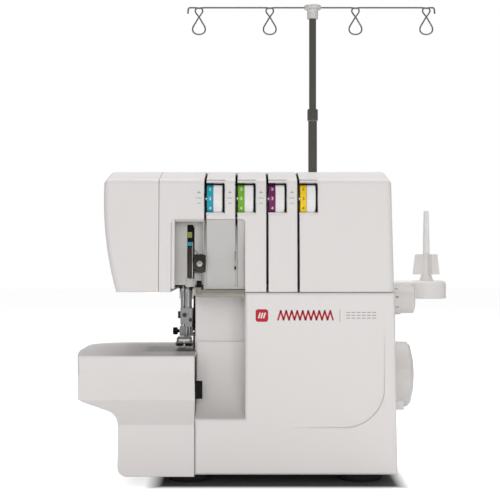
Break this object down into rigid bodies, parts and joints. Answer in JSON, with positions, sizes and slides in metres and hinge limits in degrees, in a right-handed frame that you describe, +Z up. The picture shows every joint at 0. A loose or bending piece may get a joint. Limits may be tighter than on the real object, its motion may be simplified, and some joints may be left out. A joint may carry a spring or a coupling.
{
  "type": "serger overlock machine",
  "caption": "Compact home serger with looper cover, chip chute, side handwheel, slide-off table and telescopic thread stand.",
  "frame": {"origin": "on the table top, under the middle of the whole machine's box", "axes": "+X to the operator's right, +Y from the operator to the back, +Z up"},
  "size_m": [0.3933, 0.25, 0.502],
  "materials": {
    "housing_plastic": "satin moulded shell",
    "panel_plastic": "fine matt grain",
    "control_plastic": "satin",
    "stand_plastic": "satin",
    "black_plastic": "matt moulded",
    "cast_frame": "die cast",
    "polished_steel": "polished",
    "brushed_steel": "brushed",
    "dark_steel": "oiled",
    "bronze": "sintered",
    "motor_paint": "lacquered",
    "pulley_metal": "turned",
    "belt_rubber": "ribbed",
    "foot_rubber": "matt",
    "lamp_lens": "clear"
  },
  "bodies": {
    "root": {"base_pan": "black_plastic", "rear_cover": "housing_plastic", "belt_cover": "housing_plastic", "column_cover": "housing_plastic", "top_cover": "housing_plastic", "head_rear_cover": "housing_plastic", "face_cover": "housing_plastic", "thread_panel": "panel_plastic", "front_thread_guides": "brushed_steel", "free_arm_cover": "housing_plastic", "needle_plate": "brushed_steel", "needle_plate_screws": "dark_steel", "machine_frame": "cast_frame", "bearing_bushes": "bronze", "motor": "motor_paint", "drive_belt": "belt_rubber", "tension_bracket": "brushed_steel", "tension_discs": "brushed_steel", "tension_springs": "dark_steel", "presser_spring": "dark_steel", "looper_carrier": "cast_frame", "lower_knife": "brushed_steel", "power_inlet": "black_plastic", "cover_screws": "dark_steel", "sewing_lamp": "lamp_lens", "spool_stand": "stand_plastic", "spool_pins": "stand_plastic", "cone_holders": "black_plastic", "pole_lower_tube": "polished_steel", "rubber_feet": "foot_rubber"},
    "drive_shaft": {"main_shaft": "polished_steel", "handwheel": "control_plastic", "drive_pulley": "pulley_metal"},
    "motor_rotor": {"motor_pulley": "pulley_metal"},
    "needle_bar_group": {"needle_bar": "polished_steel", "needle_clamp": "dark_steel", "needles": "dark_steel", "needle_clamp_screws": "dark_steel"},
    "presser_bar_group": {"presser_bar": "polished_steel", "foot_holder": "brushed_steel", "foot_screw": "black_plastic"},
    "presser_foot_body": {"presser_foot": "brushed_steel"},
    "lifter": {"lifter_lever": "brushed_steel", "lifter_grip": "black_plastic"},
    "dial_1": {"tension_dial_1": "control_plastic"},
    "dial_2": {"tension_dial_2": "control_plastic"},
    "dial_3": {"tension_dial_3": "control_plastic"},
    "dial_4": {"tension_dial_4": "control_plastic"},
    "stitch_dial": {"stitch_length_dial": "control_plastic"},
    "cover_carriage": {"front_cover_hinge_rod": "polished_steel"},
    "looper_cover": {"front_cover": "housing_plastic"},
    "table": {"extension_table": "housing_plastic"},
    "pole_top": {"pole_upper_tube": "polished_steel"},
    "thread_tree": {"guide_cap": "stand_plastic", "guide_wires": "polished_steel"},
    "rocker": {"power_switch": "black_plastic"},
    "lower_looper_body": {"lower_looper": "polished_steel"},
    "upper_looper_body": {"upper_looper": "polished_steel"},
    "knife_body": {"upper_knife": "brushed_steel"},
    "feed_body": {"feed_dogs": "brushed_steel"}
  },
  "joints": [
    {"name": "handwheel_turn", "type": "hinge", "parent": "root", "child": "drive_shaft", "pos_m": [0.12, -0.035, 0.0983], "axis": [1, 0, 0], "continuous": true},
    {"name": "motor_turn", "type": "hinge", "parent": "root", "child": "motor_rotor", "pos_m": [0.092, 0.02, 0.0495], "axis": [1, 0, 0], "continuous": true},
    {"name": "needle_bar_stroke", "type": "slide", "parent": "root", "child": "needle_bar_group", "axis": [0, 0, 1], "range_m": [-0.009, 0.018]},
    {"name": "lifter_turn", "type": "hinge", "parent": "root", "child": "lifter", "pos_m": [-0.0976, -0.043, 0.236], "axis": [1, 0, 0], "range_deg": [-8, 4.2]},
    {"name": "presser_lift", "type": "slide", "parent": "root", "child": "presser_bar_group", "axis": [0, 0, 1], "range_m": [-0.0032, 0.0017], "deforming": ["presser_spring"]},
    {"name": "presser_foot_tilt", "type": "hinge", "parent": "presser_bar_group", "child": "presser_foot_body", "pos_m": [-0.09, -0.027, 0.134], "axis": [1, 0, 0], "range_deg": [-2.5, 2.5]},
    {"name": "tension_dial_1_turn", "type": "hinge", "parent": "root", "child": "dial_1", "pos_m": [-0.0576, -0.1027, 0.274], "axis": [1, 0, 0], "range_deg": [-96, 192]},
    {"name": "tension_dial_2_turn", "type": "hinge", "parent": "root", "child": "dial_2", "pos_m": [-0.02787, -0.1027, 0.274], "axis": [1, 0, 0], "range_deg": [-96, 192]},
    {"name": "tension_dial_3_turn", "type": "hinge", "parent": "root", "child": "dial_3", "pos_m": [0.00186, -0.1027, 0.274], "axis": [1, 0, 0], "range_deg": [-96, 192]},
    {"name": "tension_dial_4_turn", "type": "hinge", "parent": "root", "child": "dial_4", "pos_m": [0.03159, -0.1027, 0.274], "axis": [1, 0, 0], "range_deg": [-96, 192]},
    {"name": "stitch_dial_turn", "type": "hinge", "parent": "root", "child": "stitch_dial", "pos_m": [0.12, -0.077, 0.1758], "axis": [1, 0, 0], "range_deg": [-90, 180]},
    {"name": "cover_release", "type": "slide", "parent": "root", "child": "cover_carriage", "axis": [1, 0, 0], "range_m": [0, 0.006]},
    {"name": "front_cover_tilt", "type": "hinge", "parent": "cover_carriage", "child": "looper_cover", "pos_m": [0.014, -0.115, 0.022], "axis": [1, 0, 0], "range_deg": [0, 84]},
    {"name": "table_release", "type": "slide", "parent": "root", "child": "table", "axis": [-1, 0, 0], "range_m": [0, 0.12]},
    {"name": "pole_extension", "type": "slide", "parent": "root", "child": "pole_top", "axis": [0, 0, 1], "range_m": [-0.088, 0]},
    {"name": "thread_tree_turn", "type": "hinge", "parent": "pole_top", "child": "thread_tree", "pos_m": [0.0464, 0.103, 0.486], "axis": [0, 0, 1], "range_deg": [-90, 90]},
    {"name": "power_switch_rock", "type": "hinge", "parent": "root", "child": "rocker", "pos_m": [0.114, -0.0975, 0.0743], "axis": [0, 1, 0], "range_deg": [-7, 7]},
    {"name": "lower_looper_swing", "type": "hinge", "parent": "root", "child": "lower_looper_body", "pos_m": [-0.058, -0.044, 0.074], "axis": [0, 1, 0], "range_deg": [-10, 10]},
    {"name": "upper_looper_swing", "type": "hinge", "parent": "root", "child": "upper_looper_body", "pos_m": [-0.048, -0.056, 0.08], "axis": [0, 1, 0], "range_deg": [-10, 6]},
    {"name": "upper_knife_stroke", "type": "slide", "parent": "root", "child": "knife_body", "axis": [0, 0, 1], "range_m": [-0.006, 0.004]},
    {"name": "feed_stroke", "type": "slide", "parent": "root", "child": "feed_body", "axis": [0, 1, 0], "range_m": [-0.002, 0.002]}
  ],
  "couplings": [
    {"joint": "motor_turn", "follows": "handwheel_turn", "ratio": 2.75},
    {"joint": "presser_lift", "follows": "lifter_turn", "m_per_rad": 0.022}
  ]
}
